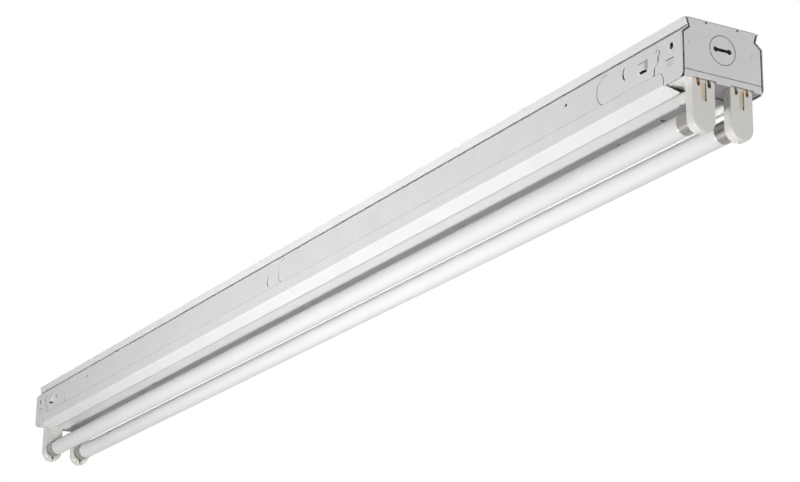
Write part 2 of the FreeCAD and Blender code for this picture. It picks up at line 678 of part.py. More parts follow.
def make_end_plate(end, sign):
    """A pressed plate: its face at local X = 0, flanges reaching inwards along -X."""
    body = new_body(f"end_plate_{end}")
    inner = "(Dims.sheet + Dims.plate_gap)"
    wall = f"(Dims.wall_half - {inner})"
    notch_out = "(Dims.lamp_half + Dims.notch_half)"
    notch_in = "(Dims.lamp_half - Dims.notch_half)"
    left = [
        (f"-{notch_in}", "-Dims.corner_drop"),
        (f"-{notch_in}", "-Dims.notch_drop"),
        (f"-{notch_out}", "-Dims.notch_drop"),
        (f"-{notch_out}", "-Dims.corner_drop"),
        (f"-{wall}", "-Dims.corner_drop"),
        (f"-{wall}", f"-Dims.shoulder_drop - 0.5 * {inner}"),
        (f"-(Dims.pinch_half - 1.15 * {inner})", f"-Dims.pinch_drop - 0.35 * {inner}"),
        (f"-(Dims.back_half - 1.1 * {inner})", "0"),
    ]
    face = add_polygon(new_sketch(f"Face_{end}", body, "YZ_Plane"), mirrored(left))
    pad(body, face, "Dims.sheet", down=True)
    base = new_sketch(f"Bottom_{end}", body, "XY_Plane", "-Dims.flange_drop")
    reach = f"({wall} - Dims.sheet)"
    add_polygon(base, box_corners("-Dims.flange_depth", "-Dims.sheet / 2", f"-{reach}", reach))
    pad(body, base, "Dims.sheet", down=True)
    holes = new_sketch(f"FlangeHoles_{end}", body, "XY_Plane", "-Dims.flange_drop + 0.5")
    for way in (-1, 1):
        add_circle(holes, "-Dims.flange_hole_inset", f"{way} * Dims.flange_hole_half",
                   "Dims.flange_hole")
    pocket(body, holes, "3 * Dims.sheet")
    top = new_sketch(f"Tab_{end}", body, "XY_Plane", "-Dims.sheet - Dims.fit_gap")
    tab = "(Dims.tab_half - Dims.relief_radius)"
    add_polygon(top, box_corners("-Dims.tab_depth", "-Dims.sheet / 2", f"-{tab}", tab))
    pad(body, top, "Dims.sheet", down=True)
    dimples = new_sketch(f"Dimples_{end}", body, "YZ_Plane")
    for way in (-1, 1):
        add_circle(dimples, f"{way} * Dims.dimple_half", "-Dims.plate_knockout_drop",
                   "Dims.dimple_radius")
    pad(body, dimples, "Dims.dimple_height")
    height = size("dimple_height")
    bevel_edges(body, "Dims.dimple_height * 0.9", lambda edge: is_near(
        edge.BoundBox.XMin, height) and is_near(edge.BoundBox.XMax, height))
    # slots that the lampholders' feet slide into
    necks = new_sketch(f"Necks_{end}", body, "XY_Plane", "-Dims.notch_drop")
    for side, way in SIDES:
        middle = f"{way} * Dims.lamp_half"
        half = "(Dims.foot_half + Dims.fit_gap)"
        add_polygon(necks, box_corners(f"{HOLDER_FRONT} + Dims.foot_inset - Dims.fit_gap", "1",
                                       f"{middle} - {half}", f"{middle} + {half}"))
    pocket(body, necks, "2 * Dims.sheet")
    # knockout: scored ring, pry slot with round ends, and the pressed line below it
    ring = new_sketch(f"Ring_{end}", body, "YZ_Plane")
    for radius in ("Dims.knockout_radius", "Dims.knockout_radius - Dims.score_width"):
        add_circle(ring, 0, "-Dims.plate_knockout_drop", radius)
    pocket(body, ring, "Dims.score_depth")
    crease = new_sketch(f"Crease_{end}", body, "YZ_Plane")
    add_polygon(crease, box_corners("-Dims.crease_half", "Dims.crease_half",
                                    "-Dims.crease_drop - Dims.score_width",
                                    "-Dims.crease_drop"))
    pocket(body, crease, "Dims.score_depth")
    bar = new_sketch(f"PryBar_{end}", body, "YZ_Plane")
    add_polygon(bar, box_corners("-Dims.pry_half", "Dims.pry_half",
                                 "-Dims.plate_knockout_drop - Dims.pry_width / 2",
                                 "-Dims.plate_knockout_drop + Dims.pry_width / 2"))
    pocket(body, bar, "2 * Dims.sheet", both=False)
    round_holes = new_sketch(f"RoundHoles_{end}", body, "YZ_Plane")
    for way in (-1, 1):
        add_circle(round_holes, f"{way} * Dims.pry_half", "-Dims.plate_knockout_drop",
                   "Dims.pry_radius")
        add_circle(round_holes, f"{way} * Dims.tab_half", "-1.5", "Dims.relief_radius")
    pocket(body, round_holes, "2 * Dims.sheet")
    move(body, f"{sign} * Dims.body_length / 2", 0, 0, NO_TURN if sign > 0 else ABOUT_Z)


# --- lampholders ------------------------------------------------------------------------
# Local frame of every holder piece: origin on the lamp axis in the plane of the end
# plate's face, with the lamp towards -X.

def at_holder(thing, end, side):
    x = f"{end[1]} * Dims.body_length / 2"
    y = f"{side[1]} * Dims.lamp_half"
    return move(thing, x, y, "-Dims.lamp_drop", NO_TURN if end[1] > 0 else ABOUT_Z)


def add_stadium(sketch, half, low, high):
    """Outline with straight sides and a round lower end centred at height low."""
    left, right, bottom = value(f"-({half})"), value(half), value(low)
    top = value(high)
    first = sketch.GeometryCount
    sketch.addGeometry(Part.LineSegment(V(left, bottom, 0), V(left, top, 0)))
    sketch.addGeometry(Part.LineSegment(V(left, top, 0), V(right, top, 0)))
    sketch.addGeometry(Part.LineSegment(V(right, top, 0), V(right, bottom, 0)))
    circle = Part.Circle(V(0, bottom, 0), Z_AXIS, right)
    sketch.addGeometry(Part.ArcOfCircle(circle, math.pi, 2 * math.pi))
    for a, b in ((0, 1), (1, 2)):
        sketch.addConstraint(Sketcher.Constraint("Coincident", first + a, 2, first + b, 1))
    sketch.addConstraint(Sketcher.Constraint("Coincident", first + 2, 2, first + 3, 2))
    sketch.addConstraint(Sketcher.Constraint("Coincident", first, 1, first + 3, 1))
    fix_point(sketch, first, 2, f"-({half})", high)
    fix_point(sketch, first + 1, 2, half, high)
    fix_point(sketch, first + 3, 3, "0", low)
    fix_point(sketch, first + 3, 1, f"-({half})", low)
    index = sketch.addConstraint(
        Sketcher.Constraint("DistanceY", -1, 1, first + 3, 2, bottom))
    sketch.setExpression(f"Constraints[{index}]", low)
    return sketch


def make_holder(end, side):
    tag = f"{side[0]}_{end[0]}"
    body = new_body(f"lampholder_{tag}")
    shell = new_sketch(f"Shell_{tag}", body, "YZ_Plane", BACK_IN)
    add_stadium(shell, "Dims.holder_half", "-Dims.holder_round_drop", "Dims.holder_top")
    pad(body, shell, f"{BACK_IN} - {HOLDER_FRONT}", down=True)
    front = value(HOLDER_FRONT)
    top = size("holder_top")
    bevel_edges(body, "Dims.bend_radius / 3", lambda edge: is_near(
        edge.BoundBox.XMin, front) and is_near(edge.BoundBox.XMax, front)
        and edge.BoundBox.ZMin < top - 0.1)
    foot = new_sketch(f"Foot_{tag}", body, "YZ_Plane", BACK_IN)
    latch = "Dims.lamp_drop - Dims.flange_drop + Dims.fit_gap"
    right = [
        ("Dims.foot_half", "Dims.holder_top - 2"),
        ("Dims.foot_half", latch),
        ("Dims.foot_half + Dims.latch_reach", latch),
        ("Dims.foot_half", f"{latch} + Dims.latch_height"),
        ("Dims.foot_half", "Dims.foot_top"),
    ]
    add_polygon(foot, right + [(f"-({y})", z) for y, z in reversed(right)])
    pad(body, foot, f"{BACK_IN} - {HOLDER_FRONT} - Dims.foot_inset", down=True)
    chamber = new_sketch(f"Chamber_{tag}", body, "YZ_Plane", BACK_IN)
    add_polygon(chamber, box_corners("-Dims.chamber_half", "Dims.chamber_half",
                                     "-Dims.chamber_low", "Dims.chamber_high"))
    pocket(body, chamber, f"{BACK_IN} - {CHAMBER_IN}")
    bore = new_sketch(f"Bore_{tag}", body, "YZ_Plane", CHAMBER_IN)
    add_circle(bore, 0, 0, "Dims.rotor_radius + Dims.run_gap")
    pocket(body, bore, "Dims.holder_front_wall + 1")
    entry = new_sketch(f"Entry_{tag}", body, "YZ_Plane", BACK_IN)
    add_polygon(entry, box_corners("-Dims.entry_slot / 2", "Dims.entry_slot / 2",
                                   f"-{LOWER_END} - 1", "0"))
    pocket(body, entry, f"{BACK_IN} - {HOLDER_FRONT} + 1")
    ports = new_sketch(f"Ports_{tag}", body, "XY_Plane", "Dims.foot_top")
    for way in (-1, 1):
        add_circle(ports, WIRE_X, f"{way} * Dims.wire_half", "Dims.wire_hole")
    pocket(body, ports, "Dims.foot_top - Dims.chamber_high + 1")
    at_holder(body, end, side)


def make_holder_back(end, side):
    tag = f"{side[0]}_{end[0]}"
    body = new_body(f"holder_back_{tag}")
    shell = new_sketch(f"Back_{tag}", body, "YZ_Plane", HOLDER_OUT)
    add_stadium(shell, "Dims.holder_half", "-Dims.holder_round_drop", "Dims.holder_top")
    pad(body, shell, "Dims.holder_back_wall", down=True)
    outer = value(HOLDER_OUT)
    top = size("holder_top")
    round_edges(body, "Dims.bend_radius * 0.7", lambda edge: is_near(
        edge.BoundBox.XMin, outer) and is_near(edge.BoundBox.XMax, outer)
        and edge.BoundBox.ZMin < top - 0.1)
    neck = new_sketch(f"BackNeck_{tag}", body, "YZ_Plane", BACK_IN)
    add_polygon(neck, box_corners("-Dims.foot_half", "Dims.foot_half",
                                  "Dims.holder_top - 2", "Dims.foot_top"))
    pad(body, neck, "Dims.holder_back_wall - Dims.foot_inset")
    holes = new_sketch(f"BackHoles_{tag}", body, "YZ_Plane", HOLDER_OUT)
    high = "Dims.foot_top - 4"
    add_polygon(holes, box_corners("-Dims.window_half", "Dims.window_half",
                                   "Dims.window_low", high))
    for way in (-1, 1):
        middle = f"{way} * Dims.wire_half"
        low = "Dims.wire_hole_low"
        add_polygon(holes, [
            (f"{middle} - Dims.wire_hole", high), (f"{middle} - Dims.wire_hole", low),
            (f"{middle} - Dims.wire_hole / 2", f"{low} - Dims.wire_hole * 0.8"),
            (f"{middle} + Dims.wire_hole / 2", f"{low} - Dims.wire_hole * 0.8"),
            (f"{middle} + Dims.wire_hole", low), (f"{middle} + Dims.wire_hole", high)])
    pocket(body, holes, "Dims.holder_back_wall + 1")
    at_holder(body, end, side)


def make_rotor(end, side):
    """A disc with a collar; at rest its slot lies across and opens to the front."""
    tag = f"{side[0]}_{end[0]}"
    body = new_body(f"rotor_{tag}")
    disc = new_sketch(f"Disc_{tag}", body, "YZ_Plane", HOLDER_FRONT)
    add_circle(disc, 0, 0, "Dims.rotor_radius")
    pad(body, disc, "Dims.holder_front_wall + Dims.fit_gap")
    collar = new_sketch(f"Collar_{tag}", body, "YZ_Plane", f"{CHAMBER_IN} + Dims.fit_gap")
    add_circle(collar, 0, 0, "Dims.collar_radius")
    pad(body, collar, "Dims.collar_depth")
    slot = new_sketch(f"Slot_{tag}", body, "YZ_Plane", f"{CHAMBER_IN} + 5")
    closed_end = "Dims.pin_half + Dims.pin_slot / 2"
    way = -end[1]
    low, high = sorted((f"{-way} * ({closed_end})", f"{way} * (Dims.collar_radius + 1)"),
                       key=value)
    add_polygon(slot, box_corners(low, high, "-Dims.pin_slot / 2", "Dims.pin_slot / 2"))
    pocket(body, slot, "Dims.holder_front_wall + 10")
    at_holder(body, end, side)


def make_contacts(end, side):
    """Two bronze strips beside the pins, bent out to the chamber's walls."""
    tag = f"{side[0]}_{end[0]}"
    body = new_body(f"contacts_{tag}")
    outer = "Dims.chamber_half"
    inner = "Dims.contact_half"
    leaf = "Dims.contact_sheet"
    strips = new_sketch(f"Strips_{tag}", body, "YZ_Plane", f"{BACK_IN} - 0.3")
    line = [
        (inner, "-Dims.contact_low"), (f"{inner} + {leaf}", "-Dims.contact_low"),
        (f"{inner} + {leaf}", "Dims.contact_bend - 2.2"), (outer, "Dims.contact_bend"),
        (outer, "Dims.chamber_high"), (f"{outer} - {leaf}", "Dims.chamber_high"),
        (f"{outer} - {leaf}", f"Dims.contact_bend + {leaf}"),
        (inner, "Dims.contact_bend - 2"),
    ]
    for way in (-1, 1):
        add_polygon(strips, [(f"{way} * ({y})", z) for y, z in line])
    pad(body, strips, "Dims.contact_width", down=True)
    at_holder(body, end, side)


def make_spring(end, side):
    """Flat spring behind the slot in the lampholder's back; it holds the rotor's detent."""
    tag = f"{side[0]}_{end[0]}"
    body = new_body(f"detent_spring_{tag}")
    leaf = new_sketch(f"Leaf_{tag}", body, "XZ_Plane")
    face = f"{BACK_IN} - 0.1"
    line = [
        (face, "Dims.chamber_high"), (face, "Dims.spring_low + 5"),
        (f"{face} - 1.2", "Dims.spring_low"), (f"{face} - 1.6", "Dims.spring_low"),
        (f"{face} - 0.4", "Dims.spring_low + 5"), (f"{face} - 0.4", "Dims.chamber_high"),
    ]
    add_polygon(leaf, line)
    pad(body, leaf, "2 * Dims.spring_half", both=True)
    at_holder(body, end, side)


# --- lamps ------------------------------------------------------------------------------


def make_tube(side):
    """Frosted glass tube; its narrower necks go into the caps."""
    body = new_body(f"lamp_tube_{side[0]}")
    ring = new_sketch(f"Glass_{side[0]}", body, "YZ_Plane")
    for radius in ("Dims.tube_radius", "Dims.tube_radius - Dims.glass_wall"):
        add_arcs(ring, radius)
    joint = f"({LAMP_END} - Dims.cap_length - Dims.fit_gap)"
    pad(body, ring, f"2 * {joint} - 2 * Dims.glass_wall", both=True).Refine = False
    for sign in (-1, 1):
        neck = new_sketch(f"Neck_{side[0]}", body, "XZ_Plane")
        add_polygon(neck, [
            (f"{sign} * ({joint} - Dims.glass_wall)", "Dims.tube_radius"),
            (f"{sign} * {joint}", "Dims.neck_radius"),
            (f"{sign} * ({joint} + Dims.neck_length)", "Dims.neck_radius"),
            (f"{sign} * ({joint} + Dims.neck_length)", "Dims.neck_radius - Dims.glass_wall"),
            (f"{sign} * ({joint} - Dims.glass_wall)", "Dims.tube_radius - Dims.glass_wall"),
        ])
        turned(body, neck).Refine = False
    move(body, 0, f"{side[1]} * Dims.lamp_half", "-Dims.lamp_drop")


def add_arcs(sketch, radius, count=6):
    """A circle about the origin drawn as equal arcs, so that a long tube meshes finely."""
    first = sketch.GeometryCount
    circle = Part.Circle(V(), Z_AXIS, value(radius))
    step = 2 * math.pi / count
    for i in range(count):
        sketch.addGeometry(Part.ArcOfCircle(circle, i * step, (i + 1) * step))
    for i in range(count):
        sketch.addConstraint(Sketcher.Constraint("Coincident", first + i, 3, -1, 1))
        if i + 1 < count:
            sketch.addConstraint(
                Sketcher.Constraint("Coincident", first + i, 2, first + i + 1, 1))
    held = sketch.addConstraint(Sketcher.Constraint("Radius", first, value(radius)))
    sketch.setExpression(f"Constraints[{held}]", radius)
    ends = [(first + i, 1, i * step) for i in range(count)]
    ends.append((first + count - 1, 2, 2 * math.pi))
    for geometry, end, angle in ends:
        steep = abs(math.sin(angle)) > 0.5
        kind, share = ("DistanceX", math.cos(angle)) if steep else ("DistanceY", math.sin(angle))
        place = sketch.addConstraint(
            Sketcher.Constraint(kind, -1, 1, geometry, end, value(radius) * share))
        sketch.setExpression(f"Constraints[{place}]", f"({radius}) * {share:.9f}")


def turned(body, sketch):
    """Turns a profile about the body's X axis."""
    feature = body.newObject("PartDesign::Revolution", sketch.Name + "Turned")
    feature.Profile = sketch
    feature.ReferenceAxis = (sketch, ["H_Axis"])
    feature.Angle = 360
    doc.recompute()
    return feature


def make_cap(end, side):
    """Aluminium cap, closed at its outer end; local origin in the middle of the lamp."""
    tag = f"{side[0]}_{end[0]}"
    body = new_body(f"lamp_cap_{tag}")
    profile = new_sketch(f"Cap_{tag}", body, "XZ_Plane")
    face = LAMP_END
    inside = "Dims.cap_radius - Dims.cap_wall"
    add_polygon(profile, [
        (face, "0"), (face, "Dims.cap_radius - 0.8"), (f"{face} - 0.8", "Dims.cap_radius"),
        (f"{face} - Dims.cap_length", "Dims.cap_radius"), (f"{face} - Dims.cap_length", inside),
        (f"{face} - Dims.cap_wall", inside), (f"{face} - Dims.cap_wall", "0")])
    turned(body, profile)
    move(body, 0, f"{side[1]} * Dims.lamp_half", "-Dims.lamp_drop",
         NO_TURN if end[1] > 0 else ABOUT_Z)


def make_pins(end, side):
    """The two contact pins that stand out of a cap; at rest they lie side by side."""
    tag = f"{side[0]}_{end[0]}"
    body = new_body(f"lamp_pins_{tag}")
    rods = new_sketch(f"Pins_{tag}", body, "YZ_Plane", LAMP_END)
    for way in (-1, 1):
        add_circle(rods, f"{way} * Dims.pin_half", 0, "Dims.pin_radius")
    pad(body, rods, "Dims.pin_length")
    tip = value(f"{LAMP_END} + Dims.pin_length")
    bevel_edges(body, "Dims.pin_radius * 0.4", lambda edge: is_near(edge.BoundBox.XMin, tip))
    move(body, 0, f"{side[1]} * Dims.lamp_half", "-Dims.lamp_drop",
         NO_TURN if end[1] > 0 else ABOUT_Z)


# --- ballast and screws -------------------------------------------------------------------

CAN_TOP = "(-Dims.sheet - Dims.ballast_plate)"
CAN_FLOOR = f"({CAN_TOP} - Dims.ballast_height)"
PORT_DROP = f"({CAN_TOP} - Dims.ballast_height / 2)"


def make_ballast():
    plate = new_body("ballast_base")
    outline = new_sketch("BasePlate", plate, "XY_Plane", "-Dims.sheet")
    half = "(Dims.ballast_length / 2 + Dims.ballast_ear)"
    add_polygon(outline, box_corners(f"-{half}", half, "-Dims.ballast_half",
                                     "Dims.ballast_half"))
    pad(plate, outline, "Dims.ballast_plate", down=True)
    holes = new_sketch("BaseHoles", plate, "XY_Plane", "-Dims.sheet")
    for way in (-1, 1):
        add_circle(holes, f"{way} * {BALLAST_SCREW_X}", 0, "Dims.screw_radius + Dims.run_gap")
    pocket(plate, holes, "Dims.ballast_plate")
    corner = value(half)
    round_edges(plate, "3 * Dims.ballast_round", lambda edge: straight_along(
        edge, Z_AXIS) and is_near(abs(edge.CenterOfMass.x), corner))

    can = new_body("ballast_case")
    outline = new_sketch("Can", can, "XY_Plane", CAN_TOP)
    half = "Dims.ballast_length / 2"
    add_polygon(outline, box_corners(f"-{half}", half, "-Dims.ballast_half",
                                     "Dims.ballast_half"))
    pad(can, outline, "Dims.ballast_height", down=True)
    floor = value(CAN_FLOOR)
    round_edges(can, "Dims.ballast_round", lambda edge: is_near(
        edge.CenterOfMass.z, floor) and straight_along(edge, X_AXIS))
    for end, sign in ENDS:
        block = new_body(f"ballast_terminals_{end}")
        shape = new_sketch(f"Block_{end}", block, "YZ_Plane", "Dims.ballast_length / 2")
        low = f"{PORT_DROP} - Dims.connector_height / 2"
        high = f"{PORT_DROP} + Dims.connector_height / 2"
        add_polygon(shape, box_corners("-Dims.connector_half", "Dims.connector_half",
                                       low, high))
        pad(block, shape, "Dims.connector_length")
        ports = new_sketch(f"BlockPorts_{end}", block, "YZ_Plane",
                           "Dims.ballast_length / 2 + Dims.connector_length")
        for place in (-2.5, -1.5, -0.5, 0.5, 1.5, 2.5):
            add_circle(ports, f"{place} * Dims.port_pitch", PORT_DROP, "Dims.port_radius")
        pocket(block, ports, "Dims.port_depth")
        move(block, 0, 0, 0, NO_TURN if sign > 0 else ABOUT_Z)


def make_screws():
    """Pan-head screws driven up from inside: two hold the ballast, one the ground lead."""
    ballast = new_body("ballast_screws")
    add_screws(ballast, [(f"{sign} * {BALLAST_SCREW_X}", "0") for _, sign in ENDS],
               CAN_TOP, "Pan")
    ground = new_body("ground_screw")
    add_screws(ground, [(GROUND_X, GROUND_Y)], "(-Dims.sheet - 0.8)", "Ground")


def add_screws(body, places, seat, name):
    shanks = new_sketch(name + "Shanks", body, "XY_Plane", seat)
    heads = new_sketch(name + "Heads", body, "XY_Plane", seat)
    for x, y in places:
        add_circle(shanks, x, y, "Dims.screw_radius")
        add_circle(heads, x, y, "Dims.screw_head")
    pad(body, heads, "Dims.screw_head_height", down=True)
    pad(body, shanks, f"-{seat} - 0.1")
    low = value(f"{seat} - Dims.screw_head_height")
    bevel_edges(body, "Dims.screw_head_height * 0.4", lambda edge: is_near(
        edge.BoundBox.ZMin, low) and is_near(edge.BoundBox.ZMax, low))


# --- leads ------------------------------------------------------------------------------


def lead(points, radius):
    """A round lead: straight runs joined by arcs as large as the runs allow."""
    edges = []
    start = points[0]
    for before, corner, after in zip(points, points[1:], points[2:]):
        back, ahead = before - corner, after - corner
        shorter = min(back.Length, ahead.Length)
        trim = 0.45 * shorter
        back.normalize()
        ahead.normalize()
        turn = math.pi - back.getAngle(ahead)
        bend = trim / math.tan(turn / 2)
        middle_way = back + ahead
        middle_way.normalize()
        centre_gap = bend / math.cos(turn / 2)
        arc_start = corner + back * trim
        arc_end = corner + ahead * trim
        arc_middle = corner + middle_way * (centre_gap - bend)
        edges.append(Part.LineSegment(start, arc_start).toShape())
        edges.append(Part.Arc(arc_start, arc_middle, arc_end).toShape())
        start = arc_end
    edges.append(Part.LineSegment(start, points[-1]).toShape())
    path = Part.Wire(edges)
    way = points[1] - points[0]
    section = Part.Wire([Part.makeCircle(radius, points[0], way)])
    return path.makePipeShell([section], True, False)


def lead_node(label, routes, extra=()):
    """One node from one or more leads, each a list of points."""
    shapes = [lead(route, size("wire_radius")) for route in routes]
    holder = doc.addObject("Part::Feature", label)
    holder.Shape = Part.makeCompound(shapes + list(extra))
    holder.Placement = FreeCAD.Placement()
    node(holder, label)


def make_lamp_leads():
    """Two leads from a terminal block to the wire entries on top of each lampholder."""
    block = size("ballast_length") / 2 + size("connector_length") + 0.1
    port = value(PORT_DROP)
    run = -size("wire_drop")
    entry = size("body_length") / 2 + value(WIRE_X)
    low = size("contact_bend") + 2.4 - size("lamp_drop")
    for end, sign in ENDS:
        for side, way in SIDES:
            routes = []
            for place in (-1, 1):
                start_y = (way * 2.0 + place * 0.5) * size("port_pitch")
                y = way * size("lamp_half") + place * size("wire_half")
                routes.append([
                    V(sign * block, start_y, port),
                    V(sign * (block + 20), start_y, port),
                    V(sign * (block + 60), y, run),
                    V(sign * entry, y, run),
                    V(sign * entry, y, low),
                ])
            lead_node(f"lamp_leads_{side}_{end}", routes)


def make_supply():
    """Line and neutral tails and the ground tail, each ending in a wire nut."""
    block = size("ballast_length") / 2 + size("connector_length") + 0.1
    port = value(PORT_DROP)
    low = -size("nut_drop")
    into = 7.0
    for label, way in (("line", -1), ("neutral", 1)):
        near_y = way * size("port_pitch") / 2
        far_y = way * size("nut_half")
        end_x = size("nut_offset") + into
        lead_node(f"supply_{label}", [[
            V(block, near_y, port),
            V(block + 15, near_y, port),
            V(end_x - 22, far_y, low),
            V(end_x, far_y, low),
        ]])
        make_nut(f"wire_nut_{label}", "Dims.nut_offset", f"{way} * Dims.nut_half")
    seat_x, seat_y, seat_z = value(GROUND_X), value(GROUND_Y), -size("sheet")
    barrel = 1.6
    start_x = seat_x + 10.3
    end_x = size("nut_offset") + size("ground_nut_step") + into
    lead_node("ground_lead", [[
        V(start_x, seat_y, seat_z - barrel),
        V(start_x + 15, seat_y, seat_z - barrel),
        V(end_x - 20, 0, low),
        V(end_x, 0, low),
    ]])
    ring = new_body("ground_terminal")
    outline = new_sketch("Ring", ring, "XY_Plane", "-Dims.sheet")
    add_circle(outline, GROUND_X, GROUND_Y, "Dims.screw_head + 0.5")
    pad(ring, outline, "0.8", down=True)
    tongue = new_sketch("Tongue", ring, "XY_Plane", "-Dims.sheet")
    add_polygon(tongue, box_corners(f"{GROUND_X} + 1", f"{GROUND_X} + 7",
                                    f"{GROUND_Y} - 1.5", f"{GROUND_Y} + 1.5"))
    pad(ring, tongue, "0.8", down=True)
    hole = new_sketch("RingHole", ring, "XY_Plane", "-Dims.sheet")
    add_circle(hole, GROUND_X, GROUND_Y, "Dims.screw_radius + Dims.run_gap")
    pocket(ring, hole, "1")
    sleeve = new_sketch("Sleeve", ring, "YZ_Plane", f"{GROUND_X} + 4.2")
    add_circle(sleeve, GROUND_Y, f"-Dims.sheet - {barrel}", str(barrel))
    pad(ring, sleeve, "6")
    make_nut("wire_nut_ground", "Dims.nut_offset + Dims.ground_nut_step", "0")


def make_nut(label, x, y):
    """A hollow cone with a wider skirt; its open end faces the ballast."""
    body = new_body(label)
    profile = new_sketch(label + "Profile", body, "XZ_Plane")
    length = "Dims.nut_length"
    throat = "Dims.wire_radius + Dims.run_gap"
    add_polygon(profile, [
        ("0", "Dims.nut_radius * 0.72"), ("0", "Dims.nut_radius"),
        (f"{length} * 0.3", "Dims.nut_radius * 0.9"), (length, "Dims.nut_radius * 0.6"),
        (length, "0"), (f"{length} * 0.7", "0"), (f"{length} * 0.7", throat),
        (f"{length} * 0.2", throat),
    ])
    turned(body, profile)
    move(body, x, y, "-Dims.nut_drop")


def check_and_write():
    """Stops at a failed object or an empty shape, then writes one file for each node."""
    doc.recompute()
    for thing in doc.Objects:
        bad = [state for state in thing.State if state in ("Invalid", "Error")]
        if bad:
            raise RuntimeError(f"{thing.Label} is {bad[0]}")
    os.makedirs("parts", exist_ok=True)
    for thing in nodes:
        shape = thing.Shape
        if shape.isNull() or not shape.isValid() or not shape.Solids:
            raise RuntimeError(f"{thing.Label} has no valid solid")
        shape.exportStep(os.path.join("parts", thing.Label + ".step"))
    print(len(nodes), "pieces")


make_channel()
make_cover()
for end in ENDS:
    make_end_plate(*end)
    for side in SIDES:
        make_holder(end, side)
        make_holder_back(end, side)
        make_rotor(end, side)
        make_contacts(end, side)
        make_spring(end, side)
        make_cap(end, side)
        make_pins(end, side)
for side in SIDES:
    make_tube(side)
make_ballast()
make_screws()
make_lamp_leads()
make_supply()
check_and_write()
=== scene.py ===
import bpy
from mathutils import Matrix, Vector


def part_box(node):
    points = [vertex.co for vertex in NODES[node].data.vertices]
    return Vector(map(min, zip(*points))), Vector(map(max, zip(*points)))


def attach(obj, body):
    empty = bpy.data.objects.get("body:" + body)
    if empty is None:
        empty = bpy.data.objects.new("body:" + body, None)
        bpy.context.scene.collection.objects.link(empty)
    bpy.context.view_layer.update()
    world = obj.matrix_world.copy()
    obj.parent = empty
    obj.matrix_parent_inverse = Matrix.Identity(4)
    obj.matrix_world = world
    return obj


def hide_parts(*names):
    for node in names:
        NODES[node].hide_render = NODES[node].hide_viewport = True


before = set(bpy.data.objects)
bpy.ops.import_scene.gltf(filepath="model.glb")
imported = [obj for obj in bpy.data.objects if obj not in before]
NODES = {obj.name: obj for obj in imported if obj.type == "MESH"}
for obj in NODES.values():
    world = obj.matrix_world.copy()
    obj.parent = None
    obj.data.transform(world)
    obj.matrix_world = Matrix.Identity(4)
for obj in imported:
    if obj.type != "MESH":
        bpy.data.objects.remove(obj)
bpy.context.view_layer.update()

import math
import bmesh
import bpy
from mathutils import Matrix, Vector

# A bare two-lamp strip light seen from below. Metres, in the part's own frame: X along
# the lamps, Z up, origin in the middle of the channel's back.

SIDES = ("front", "rear")
ENDS = (("near", 1), ("far", -1))
MM = 0.001

SCORE_DEPTH = 0.35 * MM
SMOOTH_ANGLE = math.radians(35)
WIRE_TIP = 4 * MM
WALL_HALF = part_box("channel_cover")[1][1]
HALF_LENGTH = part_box("channel")[1][0]


# --- materials ------------------------------------------------------------------------

CLOUD_DETAIL, CLOUD_ROUGHNESS = 5.0, 0.6
DARK_UP_TO, LIGHT_FROM = 0.3, 0.7

def new_material(name):
    material = bpy.data.materials.new(name)
    material.use_nodes = True
    nodes, links = material.node_tree.nodes, material.node_tree.links
    return material, nodes, links, nodes["Principled BSDF"]


def add(nodes, kind, **inputs):
    made = nodes.new(kind)
    for name, setting in inputs.items():
        made.inputs[name.replace("_", " ")].default_value = setting
    return made


def mottled(name, dark, light, rough=(0.35, 0.45), scale=60.0, bump=0.02, grain=900.0,
            metallic=0.0, coat=0.0, specular=0.5, stretch=(1, 1, 1)):
    """A surface whose colour and gloss wander a little, with a fine bump."""
    material, nodes, links, shader = new_material(name)
    place = nodes.new("ShaderNodeTexCoord")
    mapping = nodes.new("ShaderNodeMapping")
    mapping.inputs["Scale"].default_value = stretch
    links.new(place.outputs["Object"], mapping.inputs["Vector"])
    cloud = add(nodes, "ShaderNodeTexNoise", Scale=scale, Detail=CLOUD_DETAIL,
                Roughness=CLOUD_ROUGHNESS)
    links.new(mapping.outputs["Vector"], cloud.inputs["Vector"])
    tint = nodes.new("ShaderNodeValToRGB")
    tint.color_ramp.elements[0].position = DARK_UP_TO
    tint.color_ramp.elements[0].color = (*dark, 1)
    tint.color_ramp.elements[1].position = LIGHT_FROM
    tint.color_ramp.elements[1].color = (*light, 1)
    links.new(cloud.outputs["Fac"], tint.inputs["Fac"])
    links.new(tint.outputs["Color"], shader.inputs["Base Color"])
    gloss = nodes.new("ShaderNodeMapRange")
    gloss.inputs["To Min"].default_value = rough[0]
    gloss.inputs["To Max"].default_value = rough[1]
    links.new(cloud.outputs["Fac"], gloss.inputs["Value"])
    links.new(gloss.outputs["Result"], shader.inputs["Roughness"])
    fine = add(nodes, "ShaderNodeTexNoise", Scale=grain, Detail=2.0)
    links.new(mapping.outputs["Vector"], fine.inputs["Vector"])
    lift = nodes.new("ShaderNodeBump")
    lift.inputs["Strength"].default_value = 1.0
    lift.inputs["Distance"].default_value = bump * MM
    links.new(fine.outputs["Fac"], lift.inputs["Height"])
    links.new(lift.outputs["Normal"], shader.inputs["Normal"])
    shader.inputs["Metallic"].default_value = metallic
    shader.inputs["Coat Weight"].default_value = coat
    shader.inputs["Specular IOR Level"].default_value = specular
    return material


